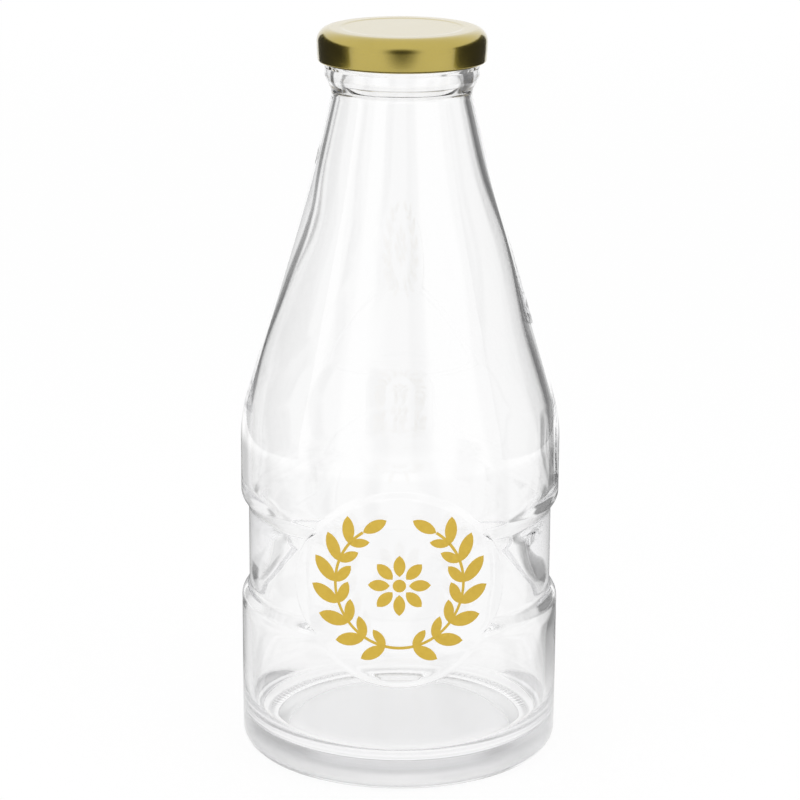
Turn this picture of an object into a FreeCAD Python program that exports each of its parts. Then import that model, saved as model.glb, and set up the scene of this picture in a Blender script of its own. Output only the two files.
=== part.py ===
import FreeCAD, Part
import math
import os

from FreeCAD import Vector

# Glass milk bottle with a gold twist-off lid, in millimetres.
# The axis is Z, the bottle stands on Z = 0 and its badge pad faces -Y.

# Body of the bottle, outside
BODY_DIAMETER = 98.0
HEEL_RADIUS = 4.5
WAIST_FOOT = 48.2            # height of the lower band's top corner
WAIST_LENGTH = 32.6          # between the corners of the lower and upper bands
WAIST_DEPTH = 2.3
STEP_HEIGHT = 3.6            # height that each slanted waist step takes
STEP_RADIUS = 3.5
UPPER_BAND_LENGTH = 24.4     # from the waist's top corner to the shoulder corner
SHOULDER_RADIUS = 45.0
KNEE_DROP = 27.0             # of the cone's slight bend, below the neck
KNEE_FLARE = 6.4             # of the bend's radius over the neck's
KNEE_RADIUS = 250.0

# Glass walls and base
BODY_WALL = 2.8
NECK_WALL = 2.4
BASE_THICKNESS = 4.5
PUSH_UP = 3.0                # hollow under the base
BEARING_WIDTH = 5.0          # ring that the bottle stands on
PUNT_SLOPE = 6.0             # radial length of the slope from the ring to the hollow
PUNT_RADIUS = 12.0
BEARING_CORNER = 2.0
INNER_HEEL_RADIUS = 10.0
INNER_STEP_SPREAD = 3.0      # how far the inner wall softens each waist step up and down
INNER_STEP_RADIUS = 20.0
NECK_BLEND_RADIUS = 30.0

# Round badge pads, front and back
PAD_RADIUS = 30.0
PAD_RISE = 0.4
PAD_ROOT = 0.8               # depth of the pad's root inside the waist wall
PAD_EDGE_RADIUS = 0.6

# Neck finish: bead, threads and rim
RIM_HEIGHT = 222.8
FINISH_DIAMETER = 44.4
RIM_RADIUS = 1.2
NECK_UNDERCUT = 1.4          # of the neck's radius below the finish's
NECK_RADIUS = 4.0            # of the hollow under the bead
BEAD_RISE = 0.9
BEAD_HEIGHT = 7.8            # from the neck to the finish wall
BEAD_CREST = 3.2
BEAD_RADIUS = 4.0
BEAD_TOP_SLOPE = 0.6
BEAD_TOP_RADIUS = 0.4
BEAD_GAP = 1.0               # between the bead and the lid's lower edge
THREAD_STARTS = 4
THREAD_LEAD = 16.0           # climb in one turn
THREAD_SWEEP = 75.0          # degrees that each thread runs
THREAD_DEPTH = 1.3
THREAD_ROOT = 2.2
THREAD_CREST = 1.2
RIB_EMBED = 0.4              # how far threads and lugs run into the wall that carries them

# Lid and its seal
LID_HEIGHT = 10.0
LID_SHEET = 0.4
LID_CORNER = 4.0
CURL_RADIUS = 0.75
PANEL_RECESS = 0.35
PANEL_STEP = 1.0
PANEL_RADIUS = 0.8
LUG_SWEEP = 16.0
LUG_THICKNESS = 1.0
LUG_LEAD_IN = 20.0           # degrees from a thread's lower end to the lug under it
GASKET_THICKNESS = 1.2
GASKET_OVERHANG = 0.4        # of the bore's edge inside the gasket's

# Clearances
SKIRT_CLEARANCE = 0.5        # lid curl to threads
LUG_TIP_CLEARANCE = 0.4      # lug to finish wall
LUG_THREAD_CLEARANCE = 0.3   # lug to the thread above it
GASKET_CLEARANCE = 0.3       # gasket to the lid's walls

# Sizes that follow from those above
body_r = BODY_DIAMETER / 2
waist_r = body_r - WAIST_DEPTH
waist_top = WAIST_FOOT + WAIST_LENGTH
shoulder_height = waist_top + UPPER_BAND_LENGTH
finish_r = FINISH_DIAMETER / 2
thread_r = finish_r + THREAD_DEPTH
bead_r = finish_r + BEAD_RISE
neck_r = finish_r - NECK_UNDERCUT
bore_r = neck_r - NECK_WALL
curl_inner_r = thread_r + SKIRT_CLEARANCE
lid_r = curl_inner_r + 2 * CURL_RADIUS
lid_top = RIM_HEIGHT + GASKET_THICKNESS + LID_SHEET
lid_bottom = lid_top - LID_HEIGHT
curl_top = lid_bottom + 2 * CURL_RADIUS
bead_top = lid_bottom - BEAD_GAP
neck_height = bead_top - BEAD_HEIGHT
knee_height = neck_height - KNEE_DROP
knee_r = neck_r + KNEE_FLARE
bearing_outer_r = body_r - HEEL_RADIUS
bearing_inner_r = bearing_outer_r - BEARING_WIDTH
punt_r = bearing_inner_r - PUNT_SLOPE
floor_height = PUSH_UP + BASE_THICKNESS
gasket_outer_r = lid_r - LID_CORNER - GASKET_CLEARANCE
gasket_inner_r = bore_r + GASKET_OVERHANG
panel_r = gasket_inner_r - GASKET_CLEARANCE
lug_tip_r = finish_r + LUG_TIP_CLEARANCE
start_angle = 360.0 / THREAD_STARTS
lug_climb = THREAD_LEAD * LUG_SWEEP / 360
lug_foot = lid_bottom + LUG_THICKNESS / 2
thread_offset = (LUG_THICKNESS + THREAD_ROOT) / 2 + LUG_THREAD_CLEARANCE
thread_foot = lug_foot + lug_climb / 2 + thread_offset - THREAD_LEAD * LUG_LEAD_IN / 360

ORIGIN = Vector(0, 0, 0)
UP = Vector(0, 0, 1)
SHORTEST_EDGE = 1e-6


def rounded_wire(corners):
    """Closed wire through (radius, height, corner radius) points, with a tangent arc at each rounded corner."""
    points = [Vector(radius, 0, height) for radius, height, _ in corners]
    bends = []
    for index, here in enumerate(points):
        corner_radius = corners[index][2]
        if not corner_radius:
            bends.append((here, None, here))
            continue
        back = (points[index - 1] - here).normalize()
        ahead = (points[(index + 1) % len(points)] - here).normalize()
        half_turn = (math.pi - back.getAngle(ahead)) / 2
        reach = corner_radius * math.tan(half_turn)
        inset = corner_radius / math.cos(half_turn) - corner_radius
        middle = here + (back + ahead).normalize() * inset
        bends.append((here + back * reach, middle, here + ahead * reach))
    edges = []
    for index, (start, middle, end) in enumerate(bends):
        if middle:
            edges.append(Part.Arc(start, middle, end).toShape())
        next_start = bends[(index + 1) % len(bends)][0]
        if end.distanceToPoint(next_start) > SHORTEST_EDGE:
            edges.append(Part.LineSegment(end, next_start).toShape())
    return Part.Wire(edges)


def turned(corners):
    """Solid of revolution about Z from a closed outline of (radius, height, corner radius) points."""
    return Part.Face(rounded_wire(corners)).revolve(ORIGIN, UP, 360)


def helical_rib(section, foot, sweep, turn):
    """Rib of a (radius, height) section that climbs the thread's lead from the foot height, from the turn angle on."""
    outline = [Vector(radius, 0, height) for radius, height in section]
    profile = Part.makePolygon(outline + outline[:1])
    path = Part.makeHelix(THREAD_LEAD, THREAD_LEAD * sweep / 360, finish_r)
    rib = Part.Wire(path.Edges).makePipeShell([profile], True, True)
    rib.translate(Vector(0, 0, foot))
    rib.rotate(ORIGIN, UP, turn)
    return rib


def badge_pad(side):
    """Round pad that bridges the waist on the front (side -1) or the back (side +1)."""
    depth = body_r + PAD_RISE
    centre = Vector(0, 0, WAIST_FOOT + WAIST_LENGTH / 2)
    disc = Part.makeCylinder(PAD_RADIUS, depth, centre, Vector(0, side, 0))
    face = Part.makeCylinder(depth, 2 * PAD_RADIUS, centre - UP * PAD_RADIUS)
    root = Part.makeCylinder(waist_r - PAD_ROOT, 2 * PAD_RADIUS, centre - UP * PAD_RADIUS)
    pad = disc.common(face).cut(root)
    rim = [edge for edge in pad.Edges if all(
        math.hypot(vertex.X, vertex.Y) > body_r for vertex in edge.Vertexes)]
    return pad.makeFillet(PAD_EDGE_RADIUS, rim)


def glass_bottle():
    """Hollow blown body with its waist, badge pads, cone, bead and threaded finish."""
    outside = [
        (0, PUSH_UP, 0),
        (punt_r, PUSH_UP, PUNT_RADIUS),
        (bearing_inner_r, 0, BEARING_CORNER),
        (body_r, 0, HEEL_RADIUS),
        (body_r, WAIST_FOOT, STEP_RADIUS),
        (waist_r, WAIST_FOOT + STEP_HEIGHT, STEP_RADIUS),
        (waist_r, waist_top - STEP_HEIGHT, STEP_RADIUS),
        (body_r, waist_top, STEP_RADIUS),
        (body_r, shoulder_height, SHOULDER_RADIUS),
        (knee_r, knee_height, KNEE_RADIUS),
        (neck_r, neck_height, NECK_RADIUS),
        (bead_r, bead_top - BEAD_TOP_SLOPE - BEAD_CREST, BEAD_RADIUS),
        (bead_r, bead_top - BEAD_TOP_SLOPE, BEAD_TOP_RADIUS),
        (finish_r, bead_top, BEAD_TOP_RADIUS),
        (finish_r, RIM_HEIGHT, RIM_RADIUS),
    ]
    inside = [
        (bore_r, RIM_HEIGHT, RIM_RADIUS),
        (bore_r, neck_height, NECK_BLEND_RADIUS),
        (knee_r - BODY_WALL, knee_height, KNEE_RADIUS),
        (body_r - BODY_WALL, shoulder_height, SHOULDER_RADIUS),
        (body_r - BODY_WALL, waist_top + INNER_STEP_SPREAD, INNER_STEP_RADIUS),
        (waist_r - BODY_WALL, waist_top - STEP_HEIGHT - INNER_STEP_SPREAD, INNER_STEP_RADIUS),
        (waist_r - BODY_WALL, WAIST_FOOT + STEP_HEIGHT + INNER_STEP_SPREAD, INNER_STEP_RADIUS),
        (body_r - BODY_WALL, WAIST_FOOT - INNER_STEP_SPREAD, INNER_STEP_RADIUS),
        (body_r - BODY_WALL, floor_height, INNER_HEEL_RADIUS),
        (0, floor_height, 0),
    ]
    body = turned(outside + inside)
    for side in (-1, 1):
        body = body.fuse(badge_pad(side))
    thread_section = [
        (finish_r - RIB_EMBED, -THREAD_ROOT / 2),
        (finish_r, -THREAD_ROOT / 2),
        (thread_r, -THREAD_CREST / 2),
        (thread_r, THREAD_CREST / 2),
        (finish_r, THREAD_ROOT / 2),
        (finish_r - RIB_EMBED, THREAD_ROOT / 2),
    ]
    for start in range(THREAD_STARTS):
        body = body.fuse(helical_rib(thread_section, thread_foot, THREAD_SWEEP, start * start_angle))
    return body.removeSplitter()


def lid_shell():
    """Pressed sheet lid: panel, rounded shoulder, skirt, inward curl and the lugs formed from it."""
    inner_r = lid_r - LID_SHEET
    ceiling = lid_top - LID_SHEET
    shell = turned([
        (0, lid_top - PANEL_RECESS, 0),
        (panel_r - PANEL_STEP, lid_top - PANEL_RECESS, PANEL_RADIUS),
        (panel_r, lid_top, PANEL_RADIUS),
        (lid_r, lid_top, LID_CORNER),
        (lid_r, lid_bottom, CURL_RADIUS),
        (curl_inner_r, lid_bottom, CURL_RADIUS),
        (curl_inner_r, curl_top, CURL_RADIUS),
        (inner_r, curl_top, 0),
        (inner_r, ceiling, LID_CORNER - LID_SHEET),
        (panel_r, ceiling, PANEL_RADIUS),
        (panel_r - PANEL_STEP, ceiling - PANEL_RECESS, PANEL_RADIUS),
        (0, ceiling - PANEL_RECESS, 0),
    ])
    lug_section = [
        (lug_tip_r, -LUG_THICKNESS / 2),
        (curl_inner_r + RIB_EMBED, -LUG_THICKNESS / 2),
        (curl_inner_r + RIB_EMBED, LUG_THICKNESS / 2),
        (lug_tip_r, LUG_THICKNESS / 2),
    ]
    for start in range(THREAD_STARTS):
        turn = start * start_angle + LUG_LEAD_IN - LUG_SWEEP / 2
        shell = shell.fuse(helical_rib(lug_section, lug_foot, LUG_SWEEP, turn))
    return shell.removeSplitter()


def sealing_gasket():
    """Flat ring of sealing compound between the lid's panel and the rim."""
    outer = Part.makeCylinder(gasket_outer_r, GASKET_THICKNESS, UP * RIM_HEIGHT)
    return outer.cut(Part.makeCylinder(gasket_inner_r, GASKET_THICKNESS, UP * RIM_HEIGHT))


os.makedirs("parts", exist_ok=True)
for build in (glass_bottle, lid_shell, sealing_gasket):
    build().exportStep("parts/" + build.__name__ + ".step")
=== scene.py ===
import math

import bmesh
import bpy
import numpy as np
from mathutils import Matrix, Vector


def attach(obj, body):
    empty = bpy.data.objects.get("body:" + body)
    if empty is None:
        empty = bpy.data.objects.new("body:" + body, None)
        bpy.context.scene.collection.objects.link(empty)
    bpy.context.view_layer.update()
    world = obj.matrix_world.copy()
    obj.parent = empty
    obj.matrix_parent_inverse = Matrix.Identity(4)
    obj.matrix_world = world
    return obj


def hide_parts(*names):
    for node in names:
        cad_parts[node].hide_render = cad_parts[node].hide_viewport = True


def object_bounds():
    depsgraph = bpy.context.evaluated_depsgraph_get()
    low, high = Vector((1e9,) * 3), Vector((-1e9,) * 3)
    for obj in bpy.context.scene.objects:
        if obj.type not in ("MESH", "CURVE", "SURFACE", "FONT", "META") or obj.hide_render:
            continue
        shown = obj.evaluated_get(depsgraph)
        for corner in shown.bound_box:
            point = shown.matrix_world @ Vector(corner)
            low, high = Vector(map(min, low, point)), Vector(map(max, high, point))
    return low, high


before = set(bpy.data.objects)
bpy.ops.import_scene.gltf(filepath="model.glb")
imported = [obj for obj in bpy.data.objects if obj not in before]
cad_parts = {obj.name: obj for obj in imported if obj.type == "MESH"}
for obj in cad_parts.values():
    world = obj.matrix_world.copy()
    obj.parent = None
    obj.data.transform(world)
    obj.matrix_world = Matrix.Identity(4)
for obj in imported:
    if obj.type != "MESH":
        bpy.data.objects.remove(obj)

cad_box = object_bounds()

MM = 0.001
FULL_TURN = 2 * math.pi

# Bottle, in millimetres, as the solids have it
BODY_R = 49.0
HEEL_RADIUS = 4.5
WAIST_R = 46.7
WAIST_FOOT = 48.2
WAIST_TOP = 80.8
STEP_HEIGHT = 3.6
STEP_RADIUS = 3.5
SHOULDER_HEIGHT = 105.2
SHOULDER_RADIUS = 45.0
KNEE_R = 27.2
KNEE_HEIGHT = 178.6
KNEE_RADIUS = 250.0
NECK_R = 20.8
NECK_HEIGHT = 205.6
NECK_RADIUS = 4.0
BEAD_R = 23.1
BEAD_FOOT = 209.6
BEAD_TOP = 213.4
BEAD_SLOPE = 0.6
BEAD_RADIUS = 4.0
LEDGE_RADIUS = 0.4
FINISH_R = 22.2
RIM_HEIGHT = 222.8
RIM_RADIUS = 1.2
BORE_R = 18.4
BORE_RADIUS = 30.0
WALL = 2.8
INNER_STEP_REACH = 3.0
INNER_STEP_RADIUS = 20.0
FLOOR_HEIGHT = 7.5
FLOOR_RADIUS = 10.0
PUSH_UP = 3.0
PUNT_R = 33.5
PUNT_RADIUS = 12.0
BEARING_R = 39.5
BEARING_RADIUS = 2.0

# Middle of the glass wall, from the floor up to the neck
MID_WALL_HEIGHTS = (FLOOR_HEIGHT, WAIST_FOOT, WAIST_FOOT + STEP_HEIGHT, WAIST_TOP - STEP_HEIGHT, WAIST_TOP,
                    SHOULDER_HEIGHT, KNEE_HEIGHT, NECK_HEIGHT)
MID_WALL_RADII = tuple(radius - WALL / 2 for radius in (
    BODY_R, BODY_R, WAIST_R, WAIST_R, BODY_R, BODY_R, KNEE_R, NECK_R))

# Badge pads on the front and back
PAD_R = 30.0
PAD_HEIGHT = 64.5
PAD_FACE_R = 49.34
PAD_WAIST_EDGE = 0.9
PAD_BAND_EDGE = 2.2
BACK_PAD_WAIST_EDGE = 14.0
PAD_EDGE_INSIDE = 0.7

# Unevenness of the blown inner wall, in millimetres, where thicker glass is below zero
WANDER_FOOT = FLOOR_HEIGHT + 4
WANDER_TOP = KNEE_HEIGHT + 10
WANDER_FADE_IN = 20.0
WANDER_FADE_OUT = 30.0
LONG_WAVE = 0.10
LONG_WAVE_PITCH = 31.0
LONG_WAVE_PHASE = 0.6
SHORT_WAVE = 0.04
SHORT_WAVE_PITCH = 17.0
SPOT_DEPTH = -1.0
SPOT_HEIGHT = 96.0
SPOT_REACH = 12.0
SPOT_SWEEP = 14.0
WAIST_THICKENING = -1.6
WAIST_REACH = 20.0
SIDE_FOCUS = 3

# Uneven stretches of the cone: side, height, reach and depth
CONE_STRETCHES = ((-1, 170.0, 26.0, -1.1), (-1, 124.0, 24.0, 0.9), (1, 158.0, 30.0, 0.9))

# Thread ribs on the finish
THREAD_STARTS = 4
THREAD_LEAD = 16.0
THREAD_SWEEP = 75.0
THREAD_FOOT = 216.27
THREAD_DEPTH = 1.25
THREAD_HALF = 1.05
THREAD_CREST = 0.35
THREAD_FADE = 9.0
THREAD_CLEARANCE = 0.3

# Knurled bearing ring and stippled underside
KNURLS = 120
KNURL_DEPTH = 0.06
KNURL_START = (43.0, 44.0)
KNURL_END = (45.5, 46.5)
KNURL_HEIGHT = 0.6
STIPPLE_HEIGHT = 3.5
STIPPLE_R = 46.0

# Lid
LID_R = 25.5
LID_TOP = 224.4
LID_FOOT = 214.4
LID_SHEET = 0.4
LID_CORNER = 4.0
CURL_RADIUS = 0.75
SKIRT_TAPER = 0.25
SKIRT_BULGE_DROP = 5.4
SKIRT_BULGE_RADIUS = 40.0
PANEL_R = 18.5
PANEL_STEP = 1.0
PANEL_RECESS = 0.15
PANEL_RADIUS = 0.8
LUGS = 4
LUG_REACH = 1.4
LUG_SWEEP = 16.0
LUG_ANGLE = 20.0
LUG_FADE = 3.0
LUG_ROOT = 0.2

# Fineness of the meshes, in millimetres and steps
BOTTLE_STEPS = 240
BOTTLE_EDGE = 4.0
FINISH_EDGE = 0.4
PAD_MESH_EDGE = 1.0
PAD_MESH_REACH = 36.8
PAD_RIM_REACH = 1.8
PAD_RIM_CUTS = 3
LID_STEPS = 256
LID_EDGE = 3.0
SKIN = 0.25
SAME_HEIGHT = 0.001
SAME_RADIUS = 0.01
MERGE_DISTANCE = 0.002

# Gold print on the front pad
PRINT_R = 49.4
PRINT_HEIGHT = 66.2
WREATH_R = 19.5
STEM_START = 7.0
STEM_SWEEP = 146.0
STEM_WIDTH = 0.9
LEAF_LENGTH = 10.2
LEAF_WIDTH = 4.5
LEAF_PAIRS = 7
LEAF_START = 12.0
LEAF_STEP = 19.5
LEAF_SPREAD = 42.0
LEAF_POINT = 0.8
END_LEAF = 0.8
INNER_LEAF = 0.74
TIP_TURN = 94.0
PETALS = 8
PETAL_LENGTH = 6.6
PETAL_WIDTH = 3.6
PETAL_GAP = 0.8
EYE_R = 2.0

# Photograph's viewpoint, in metres and degrees, with the lens in millimetres
CAMERA_PLACE = Vector((-0.0001, -0.883, 0.3587))
CAMERA_TILT = 15.77
CAMERA_ROLL = 0.3
LENS = 134.4
SENSOR = 36.0

# White studio, in metres
FLOOR_SPAN = 12.0
FLOOR_GLOW = 0.9
HORIZON_FADE = (0.5, 1.5)
WORLD_LIGHT = 0.8
KEY_LIGHT_PLACE = (-0.9, -1.0, 1.3)
FILL_LIGHT_PLACE = (1.1, -0.8, 0.9)

# Painted dark refraction: dark flats on the floor and surround that only rays bent by the glass reach,
# drawing dark lines along the glass: start and end in degrees clockwise from +Y, and depth
NEAR_PAINTED_FLATS = ((-75, -66, 0.6), (-36, -23, 0.3), (23, 60, 1), (98, 113, 1), (157, 172, 1))
FAR_PAINTED_FLATS = ((-132, -112, 1), (-36, -23, 1), (23, 60, 1), (98, 113, 1), (157, 172, 1))
PAINTED_FLAT_TONE = 0.2
PAINTED_FLAT_EDGE = 2.5
PAINTED_FLAT_OFFSET = 0.03
PAINTED_FLAT_START = (0.06, 0.14)
PAINTED_FLAT_SPLIT = (0.38, 0.44)

# Painted dim reflection: ring of floor that is dim only in mirrored rays
DIM_START = (0.05, 0.10)
DIM_END = (0.34, 0.42)
DIM_SHARE = 0.9

# Painted dark reflections: dark cards that only reflections see
CARD_TONE = 0.045
CARD_FADE = (0.4, 1.0)
SIDE_CARD_NEAR = (0.648, -0.188)
SIDE_CARD_FAR = (0.28, 0.53)
SIDE_CARD_TOP = 0.40
FRONT_CARD_HALF = 0.27
FRONT_CARD_Y = -0.6
FRONT_CARD_TOP = 0.62
FRONT_CARD_MIDDLE = (0, FRONT_CARD_Y, 0.27)
FRONT_CARD_REACH = (0.30, 1, 0.34)
EVEN_REACH = (9, 9, 9)

# Bounces that a ray needs to find its way through thick glass
RAY_BOUNCES = 40


def smooth_step(start, end, value):
    """0 before the start, 1 after the end and an even ramp between, upwards or downwards."""
    t = min(max((value - start) / (end - start), 0.0), 1.0)
    return t * t * (3 - 2 * t)


def swell(centre, reach, value):
    """1 at the centre, falling evenly to 0 at the reach."""
    return 1 - smooth_step(0, reach, abs(value - centre))


def finished(name, bm, material, body, node=None):
    """Turns a bmesh into a smooth piece that rides on a body and may stand for a CAD node."""
    mesh = bpy.data.meshes.new(name)
    bm.to_mesh(mesh)
    bm.free()
    mesh.shade_smooth()
    mesh.materials.append(material)
    piece = bpy.data.objects.new(name, mesh)
    bpy.context.collection.objects.link(piece)
    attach(piece, body)
    if node:
        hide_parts(node)
    return piece


def rounded_outline(bm, corners, longest):
    """Wire through (radius, height, corner radius, arc steps) corners, with no edge over the longest."""
    line = [bm.verts.new((radius * MM, 0, height * MM)) for radius, height, *_ in corners]
    for start, end in zip(line, line[1:]):
        bm.edges.new((start, end))
    for index in range(1, len(corners) - 1):
        corner_radius, arc_steps = corners[index][2:]
        if not corner_radius:
            continue
        here = Vector(corners[index][:2])
        back = Vector(corners[index - 1][:2]) - here
        ahead = Vector(corners[index + 1][:2]) - here
        reach = corner_radius * math.tan((math.pi - back.angle(ahead)) / 2)
        bmesh.ops.bevel(bm, geom=[line[index]], offset=reach * MM, offset_type="OFFSET", affect="VERTICES",
                        segments=arc_steps, profile=0.5, clamp_overlap=False, material=-1)
    split_edges(bm, bm.edges[:], longest)


def split_edges(bm, edges, longest):
    """Cuts edges into even lengths no longer than the longest."""
    for edge in edges:
        cuts = math.ceil(edge.calc_length() / (longest * MM)) - 1
        if cuts > 0:
            bmesh.ops.subdivide_edges(bm, edges=[edge], cuts=cuts)


def edges_within(bm, low, high, least_radius):
    """Edges of the wire between two heights and outside a radius."""
    return [edge for edge in bm.edges if all(
        low < v.co.z / MM < high and v.co.x / MM > least_radius for v in edge.verts)]


def spun(bm, steps):
    """Spins the wire round Z into a closed skin with its faces outwards."""
    bmesh.ops.spin(bm, geom=bm.verts[:] + bm.edges[:], cent=(0, 0, 0), axis=(0, 0, 1),
                   angle=FULL_TURN, steps=steps, use_merge=True)
    bmesh.ops.remove_doubles(bm, verts=bm.verts[:], dist=MERGE_DISTANCE * MM)
    bmesh.ops.recalc_face_normals(bm, faces=bm.faces[:])


def set_radius(vert, radius):
    """Moves a vertex to a radius from the axis, in millimetres, without turning it."""
    scale = radius * MM / math.hypot(vert.co.x, vert.co.y)
    vert.co.x *= scale
    vert.co.y *= scale


def thread_rise(angle, height):
    """Height of the thread ribs over the finish wall, with faded ends."""
    rise = 0.0
    for start in range(THREAD_STARTS):
        along = (angle - start * 360 / THREAD_STARTS) % 360
        if along > THREAD_SWEEP:
            continue
        off_crest = abs(height - THREAD_FOOT - THREAD_LEAD * along / 360)
        end_fade = smooth_step(0, THREAD_FADE, min(along, THREAD_SWEEP - along))
        rise = max(rise, end_fade * (1 - smooth_step(THREAD_CREST * THREAD_HALF, THREAD_HALF, off_crest)))
    return rise * THREAD_DEPTH


def wall_wander(angle, height):
    """Change of the inner wall's radius: slow waves, uneven cone, a thick spot and a thick waist."""
    turn = math.radians(angle)
    sideways = math.cos(turn)
    long_wave = LONG_WAVE * math.sin(2 * turn + LONG_WAVE_PHASE + height / LONG_WAVE_PITCH)
    short_wave = SHORT_WAVE * math.sin(3 * turn - height / SHORT_WAVE_PITCH)
    cone = sum(depth * max(0.0, side * sideways) ** SIDE_FOCUS * swell(middle, reach, height)
               for side, middle, reach, depth in CONE_STRETCHES)
    off_spot = (angle + 180) % 360 - 180
    spot = SPOT_DEPTH * swell(0, SPOT_SWEEP, off_spot) * swell(SPOT_HEIGHT, SPOT_REACH, height)
    waist = WAIST_THICKENING * abs(sideways) ** SIDE_FOCUS * swell(PAD_HEIGHT, WAIST_REACH, height)
    return long_wave + short_wave + cone + spot + waist


def bottle_outline():
    """Section of the bottle, up the outside and down the inside, as rounded_outline takes its corners."""
    inner_body = BODY_R - WALL
    inner_waist = WAIST_R - WALL
    return [
        (0, PUSH_UP, 0, 0),
        (PUNT_R, PUSH_UP, PUNT_RADIUS, 4),
        (BEARING_R, 0, BEARING_RADIUS, 3),
        (BODY_R, 0, HEEL_RADIUS, 8),
        (BODY_R, WAIST_FOOT, STEP_RADIUS, 7),
        (WAIST_R, WAIST_FOOT + STEP_HEIGHT, STEP_RADIUS, 7),
        (WAIST_R, WAIST_TOP - STEP_HEIGHT, STEP_RADIUS, 7),
        (BODY_R, WAIST_TOP, STEP_RADIUS, 7),
        (BODY_R, SHOULDER_HEIGHT, SHOULDER_RADIUS, 8),
        (KNEE_R, KNEE_HEIGHT, KNEE_RADIUS, 4),
        (NECK_R, NECK_HEIGHT, NECK_RADIUS, 10),
        (BEAD_R, BEAD_FOOT, BEAD_RADIUS, 10),
        (BEAD_R, BEAD_TOP - BEAD_SLOPE, LEDGE_RADIUS, 3),
        (FINISH_R, BEAD_TOP, LEDGE_RADIUS, 3),
        (FINISH_R, RIM_HEIGHT, RIM_RADIUS, 6),
        (BORE_R, RIM_HEIGHT, RIM_RADIUS, 6),
        (BORE_R, NECK_HEIGHT, BORE_RADIUS, 4),
        (KNEE_R - WALL, KNEE_HEIGHT, KNEE_RADIUS, 3),
        (inner_body, SHOULDER_HEIGHT, SHOULDER_RADIUS, 6),
        (inner_body, WAIST_TOP + INNER_STEP_REACH, INNER_STEP_RADIUS, 4),
        (inner_waist, WAIST_TOP - STEP_HEIGHT - INNER_STEP_REACH, INNER_STEP_RADIUS, 4),
        (inner_waist, WAIST_FOOT + STEP_HEIGHT + INNER_STEP_REACH, INNER_STEP_RADIUS, 4),
        (inner_body, WAIST_FOOT - INNER_STEP_REACH, INNER_STEP_RADIUS, 4),
        (inner_body, FLOOR_HEIGHT, FLOOR_RADIUS, 10),
        (0, FLOOR_HEIGHT, 0, 0),
    ]


def glass_bottle(material, base_material):
    """Blown body with waist, badge pads, cone, bead, thread ribs and knurled base ring."""
    bm = bmesh.new()
    rounded_outline(bm, bottle_outline(), BOTTLE_EDGE)
    split_edges(bm, edges_within(bm, BEAD_TOP, RIM_HEIGHT, FINISH_R - SKIN), FINISH_EDGE)
    outer_skin = WAIST_R - SKIN
    pad_edges = edges_within(bm, PAD_HEIGHT - PAD_MESH_REACH, PAD_HEIGHT + PAD_MESH_REACH, outer_skin)
    split_edges(bm, pad_edges, PAD_MESH_EDGE)
    wire = sorted((v.co.z / MM, v.co.x / MM) for v in bm.verts if v.co.x / MM > outer_skin)
    heights, radii = zip(*[row for row in wire if HEEL_RADIUS < row[0] < SHOULDER_HEIGHT])
    spun(bm, BOTTLE_STEPS)
    shape_base_ring(bm)
    shape_walls(bm)
    shape_pads(bm, heights, radii)
    for face in bm.faces:
        middle = face.calc_center_median() / MM
        if middle.z < STIPPLE_HEIGHT and middle.xy.length < STIPPLE_R and face.normal.z < 0:
            face.material_index = 1
    piece = finished("glass_body", bm, material, "bottle", "glass_bottle")
    piece.data.materials.append(base_material)
    return piece


def shape_base_ring(bm):
    """Presses short radial knurls into the ring that the bottle stands on."""
    def on_ring(vert):
        return vert.co.z < KNURL_HEIGHT * MM and math.hypot(vert.co.x, vert.co.y) > BEARING_R * MM

    ring = [edge for edge in bm.edges if all(on_ring(v) for v in edge.verts)
            and abs(edge.verts[0].co.z - edge.verts[1].co.z) < SAME_HEIGHT * MM
            and abs(edge.verts[0].co.xy.length - edge.verts[1].co.xy.length) < SAME_RADIUS * MM]
    bmesh.ops.subdivide_edges(bm, edges=ring, cuts=1)
    for vert in bm.verts:
        if on_ring(vert):
            radius = vert.co.xy.length / MM
            turn = math.atan2(vert.co.y, vert.co.x)
            share = smooth_step(*KNURL_START, radius) * (1 - smooth_step(*KNURL_END, radius))
            vert.co.z += KNURL_DEPTH * MM * share * (0.5 - 0.5 * math.cos(KNURLS * turn))


def shape_walls(bm):
    """Raises the thread ribs on the finish and makes the inner wall uneven."""
    for vert in bm.verts:
        x, y, z = vert.co / MM
        radius = math.hypot(x, y)
        angle = math.degrees(math.atan2(y, x)) % 360
        if BEAD_TOP + THREAD_CLEARANCE < z < RIM_HEIGHT - RIM_RADIUS and radius > FINISH_R - SKIN:
            set_radius(vert, radius + thread_rise(angle, z))
        elif WANDER_FOOT < z < WANDER_TOP and radius < np.interp(z, MID_WALL_HEIGHTS, MID_WALL_RADII):
            share = smooth_step(WANDER_FOOT, WANDER_FOOT + WANDER_FADE_IN, z)
            share *= smooth_step(WANDER_TOP, WANDER_TOP - WANDER_FADE_OUT, z)
            set_radius(vert, radius + share * wall_wander(angle, z))


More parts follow.
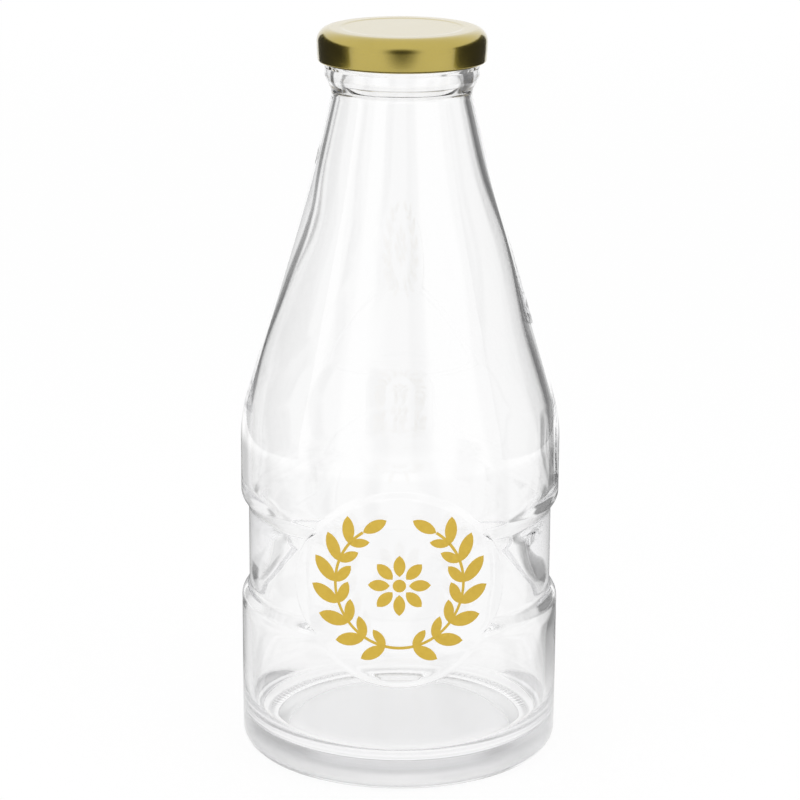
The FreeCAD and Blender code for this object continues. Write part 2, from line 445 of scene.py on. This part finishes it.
def shape_pads(bm, heights, radii):
    """Raises the round pads, front and back, out of the waist, on a finer mesh round their edges."""
    def off_centre(vert):
        return math.hypot(vert.co.x / MM, vert.co.z / MM - PAD_HEIGHT)

    def outer(vert):
        return math.hypot(vert.co.x, vert.co.y) / MM > np.interp(vert.co.z / MM, heights, radii) - WALL / 2

    rim = [edge for edge in bm.edges if all(
        abs(off_centre(v) - PAD_R) < PAD_RIM_REACH and outer(v) for v in edge.verts)]
    bmesh.ops.subdivide_edges(bm, edges=rim, cuts=PAD_RIM_CUTS, use_grid_fill=True)
    for vert in bm.verts:
        off = off_centre(vert)
        if off < PAD_R + BACK_PAD_WAIST_EDGE and outer(vert):
            wall = np.interp(vert.co.z / MM, heights, radii)
            waist_edge = PAD_WAIST_EDGE if vert.co.y < 0 else BACK_PAD_WAIST_EDGE
            edge = waist_edge + (PAD_BAND_EDGE - waist_edge) * smooth_step(WAIST_R, BODY_R, wall)
            start = PAD_R - PAD_EDGE_INSIDE * edge
            share = 1 - smooth_step(start, start + edge, off)
            set_radius(vert, wall + (PAD_FACE_R - wall) * share)


def lid_shell(material):
    """Pressed lid with a sunk panel, rounded shoulder, skirt, inward curl and lugs."""
    inner_r = LID_R - LID_SHEET
    ceiling = LID_TOP - LID_SHEET
    foot_r = LID_R - SKIRT_TAPER
    curl_r = foot_r - 2 * CURL_RADIUS
    curl_top = LID_FOOT + 2 * CURL_RADIUS
    bm = bmesh.new()
    rounded_outline(bm, [
        (0, LID_TOP - PANEL_RECESS, 0, 0),
        (PANEL_R - PANEL_STEP, LID_TOP - PANEL_RECESS, PANEL_RADIUS, 3),
        (PANEL_R, LID_TOP, PANEL_RADIUS, 3),
        (LID_R, LID_TOP, LID_CORNER, 10),
        (LID_R, LID_TOP - SKIRT_BULGE_DROP, SKIRT_BULGE_RADIUS, 4),
        (foot_r, LID_FOOT, CURL_RADIUS, 6),
        (curl_r, LID_FOOT, CURL_RADIUS, 6),
        (curl_r, curl_top, CURL_RADIUS, 6),
        (inner_r, curl_top, 0, 0),
        (inner_r, ceiling, LID_CORNER - LID_SHEET, 6),
        (PANEL_R, ceiling, PANEL_RADIUS, 3),
        (PANEL_R - PANEL_STEP, ceiling - PANEL_RECESS, PANEL_RADIUS, 3),
        (0, ceiling - PANEL_RECESS, 0, 0),
    ], LID_EDGE)
    spun(bm, LID_STEPS)
    lug_pitch = 360 / LUGS
    for vert in bm.verts:
        radius = vert.co.xy.length / MM
        if vert.co.z / MM > curl_top or radius > LID_R - CURL_RADIUS:
            continue
        angle = math.degrees(math.atan2(vert.co.y, vert.co.x))
        along = (angle - LUG_ANGLE + lug_pitch / 2) % lug_pitch - lug_pitch / 2
        share = smooth_step(LID_R - CURL_RADIUS, curl_r + LUG_ROOT, radius)
        share *= 1 - smooth_step(LUG_SWEEP / 2 - LUG_FADE, LUG_SWEEP / 2, abs(along))
        set_radius(vert, radius - LUG_REACH * share)
    return finished("gold_lid", bm, material, "lid", "lid_shell")


def turned(degrees):
    """Turn in the plane of the print."""
    return Matrix.Rotation(math.radians(degrees), 4, "Z")


def moved_out(distance):
    """Move along X in the plane of the print."""
    return Matrix.Translation((distance, 0, 0))


def leaf(bm, length, width, place):
    """Flat pointed leaf, along X from the origin, put in place by a matrix."""
    made = bmesh.ops.create_grid(bm, x_segments=8, y_segments=2, size=0.5)["verts"]
    for vert in made:
        half = vert.co.x * 2
        taper = (1 - half * half) ** LEAF_POINT
        vert.co = Vector(((vert.co.x + 0.5) * length, vert.co.y * width * taper, 0))
    bmesh.ops.transform(bm, matrix=place, verts=made)


def stem(bm, radius, start, end, width):
    """Flat arc of the wreath, between two angles in degrees."""
    made = bmesh.ops.create_grid(bm, x_segments=40, y_segments=1, size=0.5)["verts"]
    for vert in made:
        turn = math.radians(start + (vert.co.x + 0.5) * (end - start))
        reach = radius + vert.co.y * width
        vert.co = Vector((reach * math.cos(turn), reach * math.sin(turn), 0))


def wreath_side(bm, side):
    """One side of the wreath, from its foot up to its tip: a stem, pairs of leaves and an end leaf."""
    stem(bm, WREATH_R, -90 - side * STEM_START, -90 + side * STEM_SWEEP, STEM_WIDTH)
    for pair in range(LEAF_PAIRS):
        along = turned(-90 + side * (LEAF_START + pair * LEAF_STEP)) @ moved_out(WREATH_R)
        size = END_LEAF + (1 - END_LEAF) * math.sin(math.pi * (pair + 0.5) / LEAF_PAIRS)
        for lean, share in ((-side * LEAF_SPREAD, size), (side * LEAF_SPREAD, size * INNER_LEAF)):
            leaf(bm, LEAF_LENGTH * share, LEAF_WIDTH * share, along @ turned(side * 90 + lean))
    tip = turned(-90 + side * STEM_SWEEP) @ moved_out(WREATH_R) @ turned(side * TIP_TURN)
    leaf(bm, LEAF_LENGTH * END_LEAF, LEAF_WIDTH * END_LEAF, tip)


def gold_print(material):
    """Fired gold wreath with a flower in it, wrapped on the front pad."""
    bm = bmesh.new()
    for side in (-1, 1):
        wreath_side(bm, side)
    for petal in range(PETALS):
        leaf(bm, PETAL_LENGTH, PETAL_WIDTH, turned(360 * petal / PETALS) @ moved_out(EYE_R + PETAL_GAP))
    bmesh.ops.create_circle(bm, cap_ends=True, segments=32, radius=EYE_R)
    bmesh.ops.remove_doubles(bm, verts=bm.verts[:], dist=MERGE_DISTANCE)
    for vert in bm.verts:
        turn = vert.co.x / PRINT_R
        height = PRINT_HEIGHT + vert.co.y
        vert.co = Vector((PRINT_R * math.sin(turn), -PRINT_R * math.cos(turn), height)) * MM
    bm.normal_update()
    inward = [face for face in bm.faces if face.normal.xy.dot(face.calc_center_median().xy) < 0]
    bmesh.ops.reverse_faces(bm, faces=inward)
    return finished("gold_print", bm, material, "bottle")


def new_material(name):
    """Empty node material, with its tree and its output."""
    material = bpy.data.materials.new(name)
    material.use_nodes = True
    tree = material.node_tree
    tree.nodes.clear()
    return material, tree, tree.nodes.new("ShaderNodeOutputMaterial")


def noise(tree, scale, detail):
    """Factor of a noise on Object coordinates, which are metres."""
    place = tree.nodes.new("ShaderNodeTexCoord")
    texture = tree.nodes.new("ShaderNodeTexNoise")
    texture.inputs["Scale"].default_value = scale
    texture.inputs["Detail"].default_value = detail
    tree.links.new(place.outputs["Object"], texture.inputs["Vector"])
    return texture.outputs["Fac"]


def ramped(tree, source, low, high):
    """Ramp between two colours driven by a texture's factor."""
    ramp = tree.nodes.new("ShaderNodeValToRGB")
    ramp.color_ramp.elements[0].color = (*low, 1)
    ramp.color_ramp.elements[1].color = (*high, 1)
    tree.links.new(source, ramp.inputs["Fac"])
    return ramp.outputs["Color"]


def bumped(tree, source, strength, distance):
    """Bump from a texture's factor."""
    bump = tree.nodes.new("ShaderNodeBump")
    bump.inputs["Strength"].default_value = strength
    bump.inputs["Distance"].default_value = distance
    tree.links.new(source, bump.inputs["Height"])
    return bump.outputs["Normal"]


def clear_glass(name, roughness):
    """Clear flint glass that lets light through to the floor, faintly grey where it is thick."""
    material, tree, out = new_material(name)
    glass = tree.nodes.new("ShaderNodeBsdfPrincipled")
    glass.inputs["Base Color"].default_value = (1, 1, 1, 1)
    glass.inputs["Roughness"].default_value = roughness
    glass.inputs["IOR"].default_value = 1.52
    glass.inputs["Transmission Weight"].default_value = 1.0
    tree.links.new(bumped(tree, noise(tree, 45, 1), 0.05, 0.0004), glass.inputs["Normal"])
    through = tree.nodes.new("ShaderNodeBsdfTransparent")
    path = tree.nodes.new("ShaderNodeLightPath")
    mix = tree.nodes.new("ShaderNodeMixShader")
    tree.links.new(path.outputs["Is Shadow Ray"], mix.inputs["Fac"])
    tree.links.new(glass.outputs["BSDF"], mix.inputs[1])
    tree.links.new(through.outputs["BSDF"], mix.inputs[2])
    tree.links.new(mix.outputs["Shader"], out.inputs["Surface"])
    absorb = tree.nodes.new("ShaderNodeVolumeAbsorption")
    absorb.inputs["Color"].default_value = (0.87, 0.87, 0.90, 1)
    absorb.inputs["Density"].default_value = 4.0
    tree.links.new(absorb.outputs["Volume"], out.inputs["Volume"])
    return material


def gold_lacquer():
    """Gold lacquer over bright tinplate, faintly mottled in its colour and gloss."""
    material, tree, out = new_material("gold_lacquer")
    metal = tree.nodes.new("ShaderNodeBsdfPrincipled")
    metal.inputs["Metallic"].default_value = 1.0
    metal.inputs["Coat Weight"].default_value = 1.0
    metal.inputs["Coat IOR"].default_value = 1.5
    metal.inputs["Coat Roughness"].default_value = 0.06
    mottle = noise(tree, 180, 3)
    colour = ramped(tree, mottle, (0.47, 0.37, 0.07), (0.53, 0.42, 0.09))
    tree.links.new(colour, metal.inputs["Base Color"])
    gloss = tree.nodes.new("ShaderNodeMapRange")
    gloss.inputs["To Min"].default_value = 0.19
    gloss.inputs["To Max"].default_value = 0.27
    tree.links.new(mottle, gloss.inputs["Value"])
    tree.links.new(gloss.outputs["Result"], metal.inputs["Roughness"])
    tree.links.new(bumped(tree, noise(tree, 900, 2), 0.03, 0.0002), metal.inputs["Normal"])
    tree.links.new(metal.outputs["BSDF"], out.inputs["Surface"])
    return material


def sealing_compound():
    """Matt off-white sealing compound."""
    material, tree, out = new_material("sealing_compound")
    rubber = tree.nodes.new("ShaderNodeBsdfPrincipled")
    rubber.inputs["Roughness"].default_value = 0.55
    mottle = noise(tree, 400, 3)
    colour = ramped(tree, mottle, (0.74, 0.71, 0.64), (0.82, 0.80, 0.74))
    tree.links.new(colour, rubber.inputs["Base Color"])
    tree.links.new(bumped(tree, mottle, 0.1, 0.0001), rubber.inputs["Normal"])
    tree.links.new(rubber.outputs["BSDF"], out.inputs["Surface"])
    return material


def fired_gold():
    """Fired gold enamel with a fine uneven grain."""
    material, tree, out = new_material("fired_gold")
    enamel = tree.nodes.new("ShaderNodeBsdfPrincipled")
    enamel.inputs["Roughness"].default_value = 0.38
    mottle = noise(tree, 700, 4)
    colour = ramped(tree, mottle, (0.53, 0.345, 0.03), (0.63, 0.435, 0.05))
    tree.links.new(colour, enamel.inputs["Base Color"])
    tree.links.new(bumped(tree, mottle, 0.08, 0.0001), enamel.inputs["Normal"])
    tree.links.new(enamel.outputs["BSDF"], out.inputs["Surface"])
    return material


def math_node(tree, operation, first, second):
    """Math node of two sockets or numbers."""
    node = tree.nodes.new("ShaderNodeMath")
    node.operation = operation
    for index, value in enumerate((first, second)):
        if isinstance(value, (int, float)):
            node.inputs[index].default_value = value
        else:
            tree.links.new(value, node.inputs[index])
    return node.outputs["Value"]


def vector_node(tree, operation, first, second=None):
    """Vector node of a socket and, where it takes one, a fixed vector."""
    node = tree.nodes.new("ShaderNodeVectorMath")
    node.operation = operation
    tree.links.new(first, node.inputs[0])
    if second:
        node.inputs[1].default_value = second
    return node.outputs["Value" if operation == "LENGTH" else "Vector"]


def fade(tree, value, span):
    """0 before a span of a value, 1 after it."""
    ramp = tree.nodes.new("ShaderNodeMapRange")
    ramp.inputs["From Min"].default_value = span[0]
    ramp.inputs["From Max"].default_value = span[1]
    tree.links.new(value, ramp.inputs["Value"])
    return ramp.outputs["Result"]


def ray_kinds(tree):
    """Whether a ray shows the surround, came through glass, or was mirrored."""
    path = tree.nodes.new("ShaderNodeLightPath")
    glossy = path.outputs["Is Glossy Ray"]
    bent = path.outputs["Is Transmission Ray"]
    mirrored = math_node(tree, "MAXIMUM", math_node(tree, "SUBTRACT", glossy, bent), 0.0)
    through_or_off = math_node(tree, "MAXIMUM", glossy, bent)
    shows = math_node(tree, "MAXIMUM", path.outputs["Is Camera Ray"], through_or_off)
    return shows, bent, mirrored


def bearing(tree, direction, inset):
    """Direction as a share of a turn, from the nearer of two points inset left and right of the axis."""
    parts = tree.nodes.new("ShaderNodeSeparateXYZ")
    tree.links.new(direction, parts.inputs["Vector"])
    inner = tree.nodes.new("ShaderNodeClamp")
    inner.inputs["Min"].default_value = -inset
    inner.inputs["Max"].default_value = inset
    tree.links.new(parts.outputs["X"], inner.inputs["Value"])
    across = math_node(tree, "SUBTRACT", parts.outputs["X"], inner.outputs["Result"])
    turn = math_node(tree, "ARCTAN2", across, parts.outputs["Y"])
    return math_node(tree, "ADD", math_node(tree, "DIVIDE", turn, FULL_TURN), 0.5)


def painted_flats(tree, share, angles):
    """Depth of the painted dark flats at a share of a turn, and 0 between them."""
    ramp = tree.nodes.new("ShaderNodeValToRGB")
    stops = ramp.color_ramp.elements
    stops[0].color = (0, 0, 0, 1)
    stops[1].color = (0, 0, 0, 1)
    for start, end, depth in angles:
        for angle, tone in ((start - PAINTED_FLAT_EDGE, 0), (start + PAINTED_FLAT_EDGE, depth),
                            (end - PAINTED_FLAT_EDGE, depth), (end + PAINTED_FLAT_EDGE, 0)):
            stops.new(angle / 360 + 0.5).color = (tone, tone, tone, 1)
    tree.links.new(share, ramp.inputs["Fac"])
    return ramp.outputs["Color"]


def painted_flat_depth(tree, direction, away, inset):
    """Depth of the near painted flats, then of the far ones, with none at the bottle's foot."""
    share = bearing(tree, direction, inset)
    beyond = fade(tree, away, PAINTED_FLAT_SPLIT)
    not_beyond = math_node(tree, "SUBTRACT", 1.0, beyond)
    within = math_node(tree, "MULTIPLY", fade(tree, away, PAINTED_FLAT_START), not_beyond)
    near = math_node(tree, "MULTIPLY", painted_flats(tree, share, NEAR_PAINTED_FLATS), within)
    far = math_node(tree, "MULTIPLY", painted_flats(tree, share, FAR_PAINTED_FLATS), beyond)
    return math_node(tree, "ADD", near, far)


def surround_tone(tree, direction, inset):
    """White, with painted dark flats for bent rays and a painted dim ring for mirrored ones."""
    shows, bent, mirrored = ray_kinds(tree)
    away = vector_node(tree, "LENGTH", direction)
    # Painted dark refraction: the floor and surround darken in these flats only for rays bent by the
    # glass.
    painted_flat = math_node(tree, "MULTIPLY", painted_flat_depth(tree, direction, away, inset), bent)
    # Painted dim reflection: this ring of floor darkens only for mirrored rays.
    ring = math_node(tree, "SUBTRACT", fade(tree, away, DIM_START), fade(tree, away, DIM_END))
    dim = math_node(tree, "MULTIPLY", ring, mirrored)
    dark = math_node(tree, "ADD", math_node(tree, "MULTIPLY", painted_flat, 1.0 - PAINTED_FLAT_TONE),
                     math_node(tree, "MULTIPLY", dim, DIM_SHARE))
    return math_node(tree, "SUBTRACT", 1.0, dark), shows, away


def studio_world():
    """White surround for the camera, metal and glass, with painted dark flats that only rays through the
    glass see, and plain soft light for everything else.
    """
    world = bpy.data.worlds.new("studio")
    world.use_nodes = True
    tree = world.node_tree
    tree.nodes.clear()
    out = tree.nodes.new("ShaderNodeOutputWorld")
    place = tree.nodes.new("ShaderNodeTexCoord")
    tone, shows, _ = surround_tone(tree, place.outputs["Generated"], 0.0)
    strength = tree.nodes.new("ShaderNodeMix")
    tree.links.new(shows, strength.inputs["Factor"])
    strength.inputs["A"].default_value = WORLD_LIGHT
    tree.links.new(tone, strength.inputs["B"])
    light = tree.nodes.new("ShaderNodeBackground")
    light.inputs["Color"].default_value = (1, 1, 1, 1)
    tree.links.new(strength.outputs["Result"], light.inputs["Strength"])
    tree.links.new(light.outputs["Background"], out.inputs["Surface"])
    bpy.context.scene.world = world


def studio_floor():
    """Floor, plain white to the camera, that keeps the bottle's soft shadow and melts into the surround,
    with painted dark flats that only rays through the glass see and a painted dim ring that only
    reflections see.
    """
    material, tree, out = new_material("studio_floor")
    place = tree.nodes.new("ShaderNodeTexCoord")
    tone, shows, away = surround_tone(tree, place.outputs["Object"], PAINTED_FLAT_OFFSET)
    matt = tree.nodes.new("ShaderNodeBsdfDiffuse")
    matt.inputs["Color"].default_value = (0.96, 0.96, 0.96, 1)
    glow = tree.nodes.new("ShaderNodeEmission")
    tree.links.new(tone, glow.inputs["Strength"])
    horizon = math_node(tree, "MULTIPLY", fade(tree, away, HORIZON_FADE), 1 - FLOOR_GLOW)
    share = math_node(tree, "ADD", horizon, FLOOR_GLOW)
    mix = tree.nodes.new("ShaderNodeMixShader")
    tree.links.new(math_node(tree, "MULTIPLY", shows, share), mix.inputs["Fac"])
    tree.links.new(matt.outputs["BSDF"], mix.inputs[1])
    tree.links.new(glow.outputs["Emission"], mix.inputs[2])
    tree.links.new(mix.outputs["Shader"], out.inputs["Surface"])
    bm = bmesh.new()
    bmesh.ops.create_grid(bm, x_segments=1, y_segments=1, size=FLOOR_SPAN / 2)
    staged("studio_floor", bm, material)


def staged(name, bm, material):
    """Stage object that isn't part of the bottle."""
    mesh = bpy.data.meshes.new(name)
    bm.to_mesh(mesh)
    bm.free()
    mesh.materials.append(material)
    item = bpy.data.objects.new(name, mesh)
    bpy.context.collection.objects.link(item)
    return item


def dark_card(name, start, end, top, middle=(0, 0, 0), reach=EVEN_REACH):
    """Upright dark card that only reflections see, a painted dark reflection, paling to white at its reach
    from its middle.
    """
    material, tree, out = new_material(name)
    place = tree.nodes.new("ShaderNodeTexCoord")
    offset = vector_node(tree, "SUBTRACT", place.outputs["Object"], middle)
    pale = fade(tree, vector_node(tree, "LENGTH", vector_node(tree, "DIVIDE", offset, reach)), CARD_FADE)
    tone = tree.nodes.new("ShaderNodeEmission")
    paled = math_node(tree, "MULTIPLY", pale, 1 - CARD_TONE)
    tree.links.new(math_node(tree, "ADD", CARD_TONE, paled), tone.inputs["Strength"])
    tree.links.new(tone.outputs["Emission"], out.inputs["Surface"])
    bm = bmesh.new()
    corners = ((*start, 0.0), (*end, 0.0), (*end, top), (*start, top))
    bm.faces.new([bm.verts.new(corner) for corner in corners])
    card = staged(name, bm, material)
    card.visible_camera = False
    card.visible_diffuse = False
    card.visible_transmission = False
    card.visible_shadow = False


def soft_light(name, place, size, power):
    """Large square lamp that faces the bottle's middle."""
    data = bpy.data.lights.new(name, "AREA")
    data.shape = "SQUARE"
    data.size = size
    data.energy = power
    lamp = bpy.data.objects.new(name, data)
    bpy.context.collection.objects.link(lamp)
    lamp.location = place
    middle = (cad_box[0] + cad_box[1]) / 2
    lamp.rotation_euler = (middle - Vector(place)).to_track_quat("-Z", "Y").to_euler()
    lamp.visible_camera = False
    lamp.visible_glossy = False
    lamp.visible_transmission = False


def photo_camera():
    """Camera at the photograph's viewpoint."""
    data = bpy.data.cameras.new("photo_camera")
    data.lens = LENS
    data.sensor_width = SENSOR
    camera = bpy.data.objects.new("photo_camera", data)
    bpy.context.collection.objects.link(camera)
    tilt = Matrix.Rotation(math.radians(90 - CAMERA_TILT), 4, "X")
    roll = Matrix.Rotation(math.radians(CAMERA_ROLL), 4, "Z")
    camera.matrix_world = Matrix.Translation(CAMERA_PLACE) @ tilt @ roll
    bpy.context.scene.camera = camera


glass_bottle(clear_glass("clear_glass", roughness=0.0), clear_glass("stippled_glass", roughness=0.3))
lid_shell(gold_lacquer())
gold_print(fired_gold())
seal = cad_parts["sealing_gasket"]
seal.data.materials.clear()
seal.data.materials.append(sealing_compound())

studio_world()
studio_floor()
# Painted dark reflections: dark cards that only reflections see.
for name, side in (("side_card_left", -1), ("side_card_right", 1)):
    near_end = (side * SIDE_CARD_NEAR[0], SIDE_CARD_NEAR[1])
    far_end = (side * SIDE_CARD_FAR[0], SIDE_CARD_FAR[1])
    dark_card(name, near_end, far_end, SIDE_CARD_TOP)
dark_card("front_card", (-FRONT_CARD_HALF, FRONT_CARD_Y), (FRONT_CARD_HALF, FRONT_CARD_Y), FRONT_CARD_TOP,
          FRONT_CARD_MIDDLE, FRONT_CARD_REACH)
soft_light("key_light", KEY_LIGHT_PLACE, size=1.0, power=10.5)
soft_light("fill_light", FILL_LIGHT_PLACE, size=1.2, power=5.2)
photo_camera()

bpy.context.scene.view_settings.view_transform = "Standard"
bpy.context.scene.cycles.max_bounces = RAY_BOUNCES
bpy.context.scene.cycles.transmission_bounces = RAY_BOUNCES
bpy.context.scene.cycles.glossy_bounces = RAY_BOUNCES
